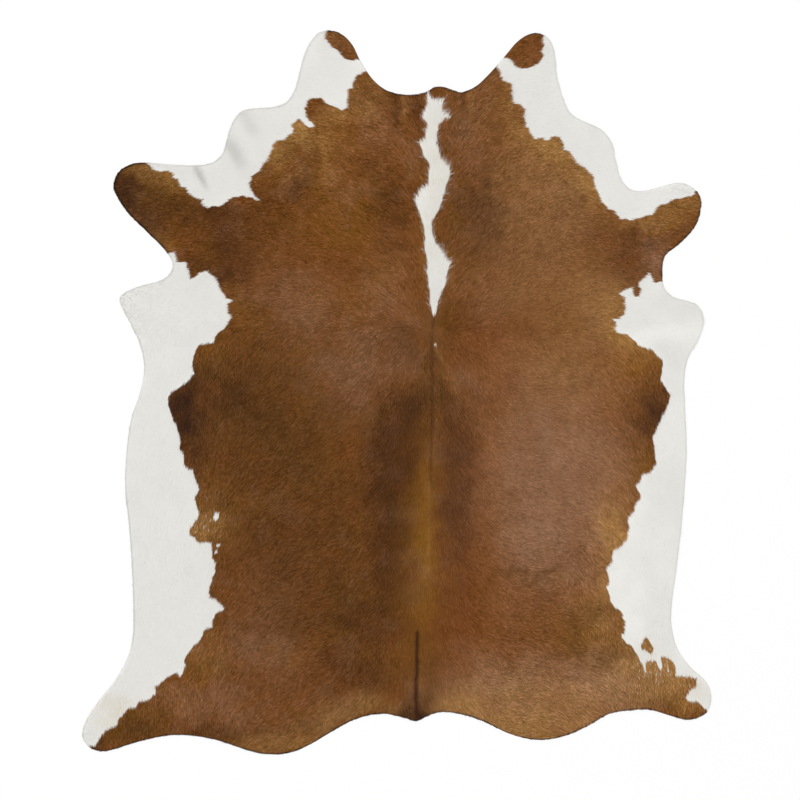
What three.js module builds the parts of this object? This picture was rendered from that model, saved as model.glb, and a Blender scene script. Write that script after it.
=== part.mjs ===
// A cowhide rug with its hair on: one whole hide, pinned out flat when it was tanned, and cut round its
// natural edge. Millimetres, +Z up. The hide lies on Z = 0, flesh side down and hair side up, with the
// spine along Y, the neck towards +Y and the tail towards -Y. Left and right are the animal's own.

import * as THREE from "three";

// Driving dimensions.
const LEATHER = 2.4; // the tanned skin
const COAT = 2.6; // short hair of 15 to 20 mm, combed flat, stands this high off the skin
const THICKNESS = LEATHER + COAT;
const EDGE_ROUND = 0.9; // how far the knife's edge is worn round, above and below
const STEPS_PER_LANDMARK = 4; // how finely the edge is drawn between two landmarks

// The edge of the hide, clockwise seen from above. Each row is one stretch of it, with its landmarks
// as [x, y]: the tips of lobes, the bottoms of bays and where the curve eases between them.
const EDGE = [
  {
    stretch: "left ear",
    landmarks: [[-285, 1013], [-266, 1060], [-238, 1093], [-201, 1102], [-164, 1089], [-134, 1057], [-112, 1012]],
  },
  {
    stretch: "neck, with the stub of the poll",
    landmarks: [
      [-69, 949], [-25, 917], [38, 905], [90, 914], [114, 928],
      [135, 931], [157, 925], [197, 913], [237, 929], [274, 961],
    ],
  },
  {
    stretch: "right ear",
    landmarks: [[331, 1025], [370, 1070], [407, 1092], [445, 1090], [473, 1062], [484, 1015]],
  },
  {
    stretch: "right side of the neck",
    landmarks: [[487, 975], [505, 903], [532, 847], [575, 823], [625, 799], [657, 757], [668, 705]],
  },
  {
    stretch: "bay before the right foreleg",
    landmarks: [[686, 646], [714, 617], [758, 614], [828, 632], [864, 638]],
  },
  {
    stretch: "right foreleg",
    landmarks: [[900, 624], [924, 597], [926, 555], [908, 503], [858, 450]],
  },
  {
    stretch: "bay behind the right foreleg",
    landmarks: [[818, 417], [809, 370], [814, 322], [840, 291], [886, 278]],
  },
  {
    stretch: "right elbow flap",
    landmarks: [[919, 262], [937, 220], [925, 171], [909, 140], [888, 105]],
  },
  {
    stretch: "right belly",
    landmarks: [[877, 40], [879, -50], [884, -180], [874, -344], [855, -520], [837, -655], [838, -710]],
  },
  {
    stretch: "right hind leg",
    landmarks: [
      [855, -780], [895, -838], [944, -884], [959, -922],
      [949, -970], [918, -992], [885, -998], [831, -984],
    ],
  },
  {
    stretch: "right rump",
    landmarks: [
      [770, -967], [712, -969], [650, -979], [590, -1012], [530, -1041], [470, -1057],
      [410, -1058], [341, -1040], [272, -1006], [210, -984], [150, -974], [115, -978],
    ],
  },
  {
    stretch: "root of the tail",
    landmarks: [[85, -991], [59, -1002], [25, -992], [-32, -980]],
  },
  {
    stretch: "left rump",
    landmarks: [
      [-85, -984], [-142, -1003], [-280, -1082], [-335, -1100], [-400, -1102], [-459, -1089],
      [-558, -1057], [-640, -1045], [-700, -1046], [-790, -1065], [-860, -1087],
    ],
  },
  {
    stretch: "left hind leg",
    landmarks: [
      [-897, -1094], [-938, -1080], [-958, -1045], [-945, -998],
      [-910, -945], [-853, -872], [-815, -797], [-802, -735],
    ],
  },
  {
    stretch: "left belly",
    landmarks: [
      [-801, -680], [-806, -530], [-816, -393], [-827, -290], [-823, -180],
      [-808, -78], [-783, -5], [-769, 70], [-778, 135], [-812, 212],
    ],
  },
  {
    stretch: "left elbow flap",
    landmarks: [[-838, 262], [-843, 287], [-822, 306], [-770, 327], [-720, 339]],
  },
  {
    stretch: "bay behind the left foreleg",
    landmarks: [[-690, 361], [-681, 390], [-703, 431], [-757, 486]],
  },
  {
    stretch: "left foreleg",
    landmarks: [
      [-821, 551], [-851, 596], [-862, 628], [-846, 672],
      [-806, 696], [-764, 700], [-700, 695], [-600, 692],
    ],
  },
  {
    stretch: "bay before the left foreleg",
    landmarks: [[-560, 700], [-530, 726], [-517, 769], [-500, 820], [-474, 854]],
  },
  {
    stretch: "left side of the neck",
    landmarks: [[-440, 864], [-375, 868], [-336, 883], [-310, 921], [-298, 962]],
  },
];

// A smooth closed curve through all the landmarks, as a flat outline.
function hideOutline() {
  const landmarks = EDGE.flatMap((row) => row.landmarks).map(([x, y]) => new THREE.Vector3(x, y, 0));
  const curve = new THREE.CatmullRomCurve3(landmarks, true, "centripetal");
  const points = curve.getPoints(landmarks.length * STEPS_PER_LANDMARK);
  points.pop(); // the curve is closed, so its last point is its first
  return new THREE.Shape(points.map((point) => new THREE.Vector2(point.x, point.y)));
}

// The whole hide: the outline given its thickness, flat below, with both rims worn slightly round.
function hideGeometry() {
  const geometry = new THREE.ExtrudeGeometry(hideOutline(), {
    depth: THICKNESS - 2 * EDGE_ROUND,
    steps: 1,
    bevelEnabled: true,
    bevelThickness: EDGE_ROUND,
    bevelSize: EDGE_ROUND,
    bevelOffset: -EDGE_ROUND,
    bevelSegments: 2,
  });
  geometry.translate(0, 0, EDGE_ROUND);
  return geometry;
}

const coatBrown = new THREE.MeshStandardMaterial({ color: "#7a4f2e", roughness: 0.7, metalness: 0 });

const hide = new THREE.Mesh(hideGeometry(), coatBrown);
hide.name = "hide";

const rug = new THREE.Group();
rug.add(hide);

export default rug;
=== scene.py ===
"""A cowhide rug with its hair on, brown and white, laid flat with the hair side up.

The leather is one thin sheet cut to the hide's own edge. The coat is combed onto it as short
locks of hair, each a small pointed blade that is rooted in the skin, lies down along the way the
hair grows and carries the colour of its own place on the animal. Left and right are the animal's.
"""

import math

import bmesh
import bpy
import numpy as np
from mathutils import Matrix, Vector


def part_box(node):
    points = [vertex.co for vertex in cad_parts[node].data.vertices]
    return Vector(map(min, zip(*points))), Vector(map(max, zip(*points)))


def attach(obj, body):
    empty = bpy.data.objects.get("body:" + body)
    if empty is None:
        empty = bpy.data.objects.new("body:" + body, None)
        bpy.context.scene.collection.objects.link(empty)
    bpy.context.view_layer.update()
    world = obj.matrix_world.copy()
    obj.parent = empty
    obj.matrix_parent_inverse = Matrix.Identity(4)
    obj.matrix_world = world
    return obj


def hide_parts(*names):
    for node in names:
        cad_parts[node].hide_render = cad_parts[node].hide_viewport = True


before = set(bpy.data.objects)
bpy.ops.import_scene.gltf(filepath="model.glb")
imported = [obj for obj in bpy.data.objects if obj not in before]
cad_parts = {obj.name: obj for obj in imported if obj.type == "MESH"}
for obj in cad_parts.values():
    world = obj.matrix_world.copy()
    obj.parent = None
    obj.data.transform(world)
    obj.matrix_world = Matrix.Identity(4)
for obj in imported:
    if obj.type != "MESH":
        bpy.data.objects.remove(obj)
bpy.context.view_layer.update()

MM = 0.001

# ------------------------------
# Sizes, in millimetres
# ------------------------------

LEATHER = 2.4  # the tanned skin
COAT = 2.6  # how high the combed hair stands off the skin
CELL = 9.5  # width of one face of the leather's mesh
SAME_PLACE = 1e-6  # vertices closer than this, in metres, are one
EDGE_SWELL = 0.5  # how far the cut edge bulges between its two rims
EDGE_EVENING = 4  # rounds of smoothing for the faces next to the cut edge
EDGE_FACES = 0.7  # a face whose normal has a smaller upright part than this is on the cut edge
LEATHER_SWAY = 0.35  # how unevenly the leather lies on the floor
LEATHER_SWAY_SIZE = 210
LEATHER_SWAY_EDGE = 60  # it lies flat at its edge and reaches its full sway this far in

LOCKS = 780_000  # locks of hair in the whole coat
LOCK_LENGTH = 13.5
LOCK_WIDTH = 2.15  # at the root; each lock tapers to a point
OVERHANG = 2.2  # how far the trimmed hair reaches past the leather's edge

FIELD_STEP = 3.0  # spacing of the grid on which distances to outlines are kept
FIELD_MARGIN = 60.0
NEAR = 30.0  # distances to a marking are only worked out this close to its outline
TINT_NEAR = 90.0  # and to a tinted area, whose border is softer, this close

LATTICE = 256  # random values along each side of the square that noise is read from
LATTICE_START = (97.3, 61.7)  # where the hide's middle lies on it, away from its corner

COAT_PIECES = ["coat_neck", "coat_shoulders", "coat_back", "coat_rump"]

# ------------------------------
# Markings: the outlines of the white areas and of the brown ones inside them, in millimetres.
# A white area at the side runs on past the hide's edge, where it needs no outline of its own.
# ------------------------------

WHITE_AREAS = {
    "left side of the neck": [
        (-93, 980), (-124, 964), (-135, 928), (-151, 922), (-145, 910), (-153, 894), (-151, 867),
        (-167, 861), (-209, 879), (-229, 896), (-264, 897), (-282, 864), (-270, 833), (-252, 813),
        (-267, 806), (-279, 815), (-295, 836), (-316, 815), (-317, 794), (-343, 769), (-371, 763),
        (-383, 734), (-401, 702), (-417, 675), (-441, 659), (-447, 635), (-441, 614), (-423, 586),
        (-444, 595), (-470, 600), (-502, 592), (-536, 568), (-578, 562), (-594, 571), (-593, 586),
        (-620, 600), (-640, 605), (-636, 617), (-659, 629), (-664, 644), (-685, 656), (-677, 663),
        (-700, 675), (-717, 672), (-737, 678), (-766, 705),
        (-780, 740), (-560, 960), (-400, 1150), (-80, 1150), (-70, 1000),
    ],
    "left flank": [
        (-696, 421), (-677, 428), (-670, 399), (-640, 394), (-633, 370), (-627, 343), (-606, 357),
        (-581, 374), (-548, 345), (-536, 312), (-517, 287), (-502, 284), (-517, 267), (-511, 242),
        (-502, 226), (-528, 191), (-548, 181), (-557, 150), (-597, 147), (-615, 123), (-622, 97),
        (-624, 62), (-615, 57), (-639, 28), (-685, 2), (-697, -21), (-691, -60), (-670, -103),
        (-658, -150), (-664, -164), (-651, -187), (-648, -219), (-633, -240), (-619, -234),
        (-615, -271), (-600, -298), (-615, -320), (-601, -376), (-630, -411), (-633, -432),
        (-597, -460), (-569, -454), (-560, -469), (-563, -506), (-551, -527), (-557, -554),
        (-569, -585), (-575, -609), (-566, -628), (-551, -629), (-528, -661), (-557, -678),
        (-563, -716), (-584, -722), (-590, -744), (-630, -789), (-645, -811), (-642, -838),
        (-658, -866), (-670, -856), (-706, -872), (-737, -899), (-734, -920), (-752, -936),
        (-783, -941), (-795, -960), (-828, -972), (-850, -1003), (-848, -1012), (-886, -1033),
        (-908, -1056), (-920, -1075), (-940, -1083),
        (-1010, -1090), (-900, 350), (-720, 400),
    ],
    "right side of the neck": [
        (308, 995), (315, 970), (328, 952), (352, 940), (355, 903), (358, 879), (382, 877),
        (392, 861), (392, 829), (401, 797), (422, 769), (447, 773), (453, 766), (471, 778),
        (498, 778), (509, 754), (509, 739), (529, 733), (547, 702), (581, 678), (599, 656),
        (605, 629), (617, 601), (620, 586), (645, 556), (661, 559), (684, 528), (712, 525),
        (748, 534), (779, 543), (800, 568), (831, 582), (869, 592), (905, 601), (915, 618),
        (900, 700), (700, 850), (560, 1130), (300, 1150), (270, 1010),
    ],
    "right flank": [
        (812, 336), (788, 333), (773, 364), (748, 345), (736, 324), (700, 315), (675, 299),
        (694, 287), (698, 266), (694, 238), (675, 220), (655, 223), (672, 208), (663, 191),
        (675, 181), (706, 171), (742, 138), (774, 132), (812, 98), (812, 65), (806, 37), (825, 7),
        (837, -9), (825, -45), (797, -97), (793, -118), (779, -140), (788, -182), (791, -213),
        (774, -246), (751, -253), (736, -280), (727, -282), (742, -320), (730, -335), (724, -362),
        (703, -384), (709, -413), (700, -454), (687, -471), (663, -484), (657, -512), (642, -542),
        (648, -564), (642, -602), (660, -649), (684, -670), (697, -701), (697, -731), (687, -750),
        (700, -768), (716, -771), (727, -791), (748, -823), (758, -849), (761, -826), (774, -814),
        (791, -823), (803, -844), (812, -838), (806, -808), (831, -814), (851, -835), (852, -867),
        (870, -864), (901, -872), (919, -872), (910, -899), (898, -904), (880, -927), (889, -941),
        (910, -941), (931, -954), (948, -972),
        (1010, -960), (1010, 300), (860, 345),
    ],
    "blaze down the neck": [
        (95, 920), (90, 896), (96, 885), (87, 867), (79, 839), (96, 818), (90, 809), (90, 791),
        (87, 775), (71, 763), (77, 742), (80, 720), (96, 705), (102, 687), (96, 665), (99, 635),
        (73, 620), (55, 586), (68, 553), (84, 504), (87, 461), (84, 434), (93, 406), (93, 364),
        (102, 312), (102, 269), (114, 223), (123, 254), (126, 284), (151, 333), (154, 364),
        (166, 397), (151, 412), (135, 434), (120, 455), (108, 492), (108, 519), (120, 540),
        (138, 582), (149, 620), (163, 665), (160, 690), (148, 699), (135, 714), (128, 739),
        (120, 757), (123, 769), (122, 787), (126, 809), (135, 821), (151, 836), (165, 839),
        (146, 855), (138, 867), (143, 885), (149, 897), (135, 896), (116, 891), (108, 897),
        (97, 912),
    ],
}

BROWN_AREAS = {
    "tip of the left ear": [
        (-215, 1099), (-218, 1080), (-200, 1056), (-176, 1035), (-160, 1016), (-133, 1010),
        (-110, 1017), (-60, 1060), (-150, 1150), (-220, 1150),
    ],
    "tip of the right ear": [
        (325, 1026), (349, 1010), (361, 995), (376, 986), (401, 987), (433, 1001), (443, 1019),
        (446, 1065), (447, 1090), (450, 1150), (380, 1150), (290, 1050),
    ],
    "spot on the right thigh": [
        (762, -744), (747, -762), (748, -786), (764, -792), (776, -798), (784, -783), (776, -765),
    ],
    "spot behind the right elbow": [
        (718, 310), (722, 322), (733, 325), (743, 316), (744, 303), (737, 292), (733, 299),
        (727, 291), (722, 300),
    ],
}

# Small white flecks: centre, half width and half length.
WHITE_FLECKS = [
    ("left flank", -551, -378, 9, 12),
    ("below it", -545, -466, 5, 5),
    ("below that", -551, -487, 4, 5),
    ("under the blaze", 119, 150, 2.5, 9),
    ("right thigh", 828, -847, 2, 5),
]

# ------------------------------
# The way the hair grows, as its turn away from pointing at the tail, in degrees: 90 is straight
# out to the side and 180 is towards the head.
# ------------------------------

NECK_SPINE_X = 106  # the line of the back, over the shoulders
TAIL_SPINE_X = 60  # the same line, at the root of the tail
SPINE_LENGTH = 1000  # from the middle of the hide, where it starts to bend, to there

WHORL_Y = 190  # ahead of this the hair sweeps out towards the head, and behind it towards the tail
WHORL_REACH = 70  # how far ahead of and behind the whorl the hair takes to turn round

# Each row: where, its distance from the line of the back, and the angle ahead of the whorl, behind
# it on the left and behind it on the right, where the hair lies flatter across the ribs.
COMBING = [
    ("spine", 0, 180, 0, 0),
    ("back", 120, 125, 30, 30),
    ("ribs", 300, 105, 60, 80),
    ("side", 500, 90, 50, 60),
    ("flank", 700, 80, 10, 10),
]

# Where the coat curls instead of lying straight: centre, half width, half length, degrees.
CURLS = [
    ("right thigh", 560, -690, 130, 190, 48),
    ("left loin", -430, -560, 120, 120, 20),
    ("left withers", -330, 640, 90, 90, 22),
]
CURL_SIZE = 42
CURL_GAIN = 1.6  # noise seldom reaches 1, so this lets a curl turn by its full degrees

# How the hair sways along its way everywhere: degrees, over what distance, seed.
SWAYS = [
    (13, 95, 21),
    (10, 34, 22),
]

# ------------------------------
# Waves in the leather and partings in the coat: from, to, half width and height.
# ------------------------------

WAVES = [
    ("neck, left", (24, 940), (29, 740), 13, 4.6),
    ("neck, left outer", (-52, 960), (-44, 800), 22, 3.4),
    ("neck, right", (172, 940), (176, 780), 14, 3.6),
    ("neck, right outer", (226, 950), (224, 800), 14, 3.4),
    ("left foreleg, crease", (-612, 700), (-578, 636), 9, 3.4),
    ("left foreleg, ridge", (-520, 740), (-470, 668), 16, 3.0),
    ("left ear", (-250, 1080), (-200, 940), 30, 2.2),
    ("right ear", (440, 1060), (420, 930), 30, 2.2),
    ("left belly", (-800, -250), (-690, -330), 34, 2.0),
    ("right belly", (860, -420), (740, -470), 34, 2.0),
    ("right foreleg", (880, 560), (760, 480), 22, 2.4),
    ("left hind leg", (-880, -1040), (-760, -960), 22, 2.2),
]

PARTINGS = [
    ("line of the back", (109, 235), (107, -90), 4, 0.8),
    ("root of the tail, left", (56, -740), (52, -985), 6, 1.3),
    ("root of the tail, right", (66, -740), (74, -985), 6, 1.1),
    ("right hind leg", (886, -941), (875, -990), 4, 1.4),
]
FOLD_FADES = 0.35  # after this share of its length a wave or parting fades out

# ------------------------------
# Colours of the hair, as sRGB, and where on the hide each shade gathers
# ------------------------------

CHESTNUT = "#7D4B1D"
WHITE_HAIR = "#F0EFEB"
# The near-black line along the cut edge of the brown hair, partly its dark trimmed ends and partly painted
# shadow of the edge; it also gives the painted shade among the roots.
RIM_AND_SHADE_BROWN = "#1C110A"
# The thin grey line along the edge of the white hair, a painted shadow of the edge, and the painted shade
# in its creases.
RIM_SHADE_GREY = "#B9B7B2"

# The mauve shade is painted sheen: the brown greyed and paled where the lying hair would reflect the lamps.
SHADES = {
    "liver": "#3A1F0A",
    "golden": "#8A5A15",
    "mauve_sheen": "#9C7356",
    "tan": "#AC7F45",
    "olive": "#643F14",
    "russet": "#74401A",
}

SHADE_SETS = {  # each attribute carries three shades, in its red, green and blue; the last lies on top
    "shades_a": ("golden", "mauve_sheen", "tan"),
    "shades_b": ("olive", "russet", "liver"),
}

CREAM = "#DED0B2"  # where the white hair is stained by the skin's oil

WARP = 26.0  # how far the borders of the large patches wander
WARP_SIZE = 90
SMALL_WARP = 0.45  # how far those of the small ones do, as a share of their half width
SMALL_WARP_SIZE = 32
SOFTNESS = 0.7  # how soon a patch fades on its way out; a lower value gives a softer one
MOTTLE = 0.30  # how much cloudier than an even wash each patch is
MOTTLE_SIZE = 42
CALM_RIGHT = 0.45  # and how much less cloudy the right half of the hide is
CALM_FROM, CALM_TO = 100, 300  # where, going right, it gets calmer
FINE_OCTAVES = 4  # layers of noise in the mottle and the clouds

CLOUD_FULL = 0.9  # a cloud has its full strength where its noise is this high

# The small clouds of another shade that the whole brown coat has: shade, size, seed, strength.
CLOUDS = [
    ("golden", 92, 101, 0.26),
    ("olive", 80, 111, 0.24),
    # the mauve clouds are small patches of painted sheen
    ("mauve_sheen", 66, 121, 0.22),
    ("russet", 74, 131, 0.22),
]

TINT_WARP = 0.28  # how far the border of a tinted area wanders, as a share of its softness
TINT_WARP_LIMIT = 12.0
TINT_MOTTLE = 0.4  # how much of the mottle a tinted area keeps

# Areas with a clear border: where, shade, strength, how soft the border is at its head and at its
# tail, and its outline.
TINTED_AREAS = [
    (
        "back, left of the spine", "liver", 0.58, (84, 120),
        [
            (70, 0), (40, 12), (10, 8), (-30, -14), (-66, -50), (-88, -110), (-92, -280),
            (-84, -420), (-66, -560), (-40, -660), (-10, -640), (4, -500), (20, -360), (44, -290),
            (80, -200), (96, -60), (90, 0),
        ],
    ),
    (
        "back, right of the spine", "liver", 0.46, (70, 120),
        [
            (128, 40), (152, 6), (180, -26), (202, -100), (214, -180), (206, -280), (192, -360),
            (165, -420), (140, -400), (128, -300), (124, -60),
        ],
    ),
    (
        "below the whorl", "olive", 0.60, (20, 44),
        [(108, 150), (84, 92), (46, 20), (62, -20), (110, -60), (168, -16), (150, 50), (124, 118)],
    ),
]

LINE_WARP = 0.35  # how far a line wanders, as a share of its half width
LINE_FADES = 0.55  # after this share of its length a line fades out
CREASE_SHADE_FADES = 0.4  # and a crease in the white hair

# Lines where the coat parts or the skin folds, with painted shade in the hollows of some folds and painted
# light on their ridges: where, shade, strength, half width and points.
LINES = [
    # The folds of the neck: the liver lines are painted shade in their hollows and the tan ones painted
    # light on the ridges between them.
    ("fold of the neck, left", "liver", 0.50, 13, [(-2, 930), (0, 860), (4, 770)]),
    ("light beside it", "tan", 0.40, 8, [(25, 930), (27, 800)]),
    ("fold beside the blaze", "liver", 0.42, 14, [(62, 930), (62, 850), (66, 750)]),
    ("fold of the neck, right", "liver", 0.42, 8, [(203, 940), (203, 850)]),
    ("light right of it", "tan", 0.25, 9, [(226, 940), (224, 830)]),
    ("line of the back", "liver", 0.42, 6, [(112, 240), (108, 150), (108, 40), (107, -180)]),
    ("line of the back, lower", "liver", 0.34, 5, [(107, -60), (104, -330)]),
    ("root of the tail", "liver", 0.92, 7, [(63, -732), (60, -870), (57, -1300)]),
    # this pale line is a painted highlight along the crease
    ("crease right of the whorl", "tan", 0.55, 5, [(120, 142), (125, 118), (138, 98), (165, 66)]),
    ("pale line beside the spine", "tan", 0.10, 5, [(118, 0), (119, -150), (114, -300)]),
    ("bright line in the strip", "tan", 0.18, 9, [(100, -280), (98, -450), (92, -700)]),
    ("left of the blaze, rim", "golden", 0.50, 10, [(78, 570), (80, 400), (88, 250)]),
    ("right of the blaze, rim", "golden", 0.45, 11, [(112, 520), (140, 440), (178, 395), (125, 235)]),
    ("crescent on the right thigh", "olive", 0.50, 9, [(330, -566), (352, -540), (392, -546), (412, -590)]),
    ("second crescent", "olive", 0.50, 9, [(408, -592), (432, -552), (478, -540), (520, -500)]),
    ("fold of the right foreleg", "liver", 0.24, 8, [(752, 450), (800, 460), (850, 482), (930, 530)]),
    ("light along it", "golden", 0.60, 9, [(760, 482), (800, 486), (850, 512), (920, 560)]),
    ("crease on the right hind leg", "tan", 0.85, 3, [(889, -936), (880, -962), (866, -1030)]),
]

# Painted shade of the creases in the white hair, as soft grey lines: where, strength, half width and
# points.
WHITE_CREASE_SHADES = [
    ("root of the left foreleg", 0.75, 8, [(-618, 704), (-606, 672), (-588, 640), (-570, 600)]),
    ("before the left foreleg", 0.40, 22, [(-545, 790), (-500, 745), (-470, 690), (-450, 640)]),
    ("left lobe of the neck", 0.25, 20, [(-470, 850), (-440, 800), (-400, 770)]),
]

STAIN_EVEN, STAIN_CLOUDY = 0.85, 0.4  # how much of a stain is even, and how much cloudy
STAIN_SIZE = 30

# Cream in the white hair: where, centre, half width, half length, strength.
STAINS = [
    ("blaze", 112, 620, 70, 330, 0.20),
    ("left hind leg", -850, -985, 80, 60, 0.36),
    ("right hind leg", 900, -905, 60, 60, 0.24),
    ("below the right flank", 770, -800, 60, 60, 0.16),
    ("under the blaze", 119, 150, 20, 30, 0.80),
]

# White hairs mingled with the brown: where, centre, half width, half length, share of the locks.
MINGLED_HAIRS = [
    ("lobes of the right thigh", 800, -845, 60, 34, 0.035),
    ("lobe of the left flank", -605, -410, 40, 36, 0.03),
]
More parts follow.
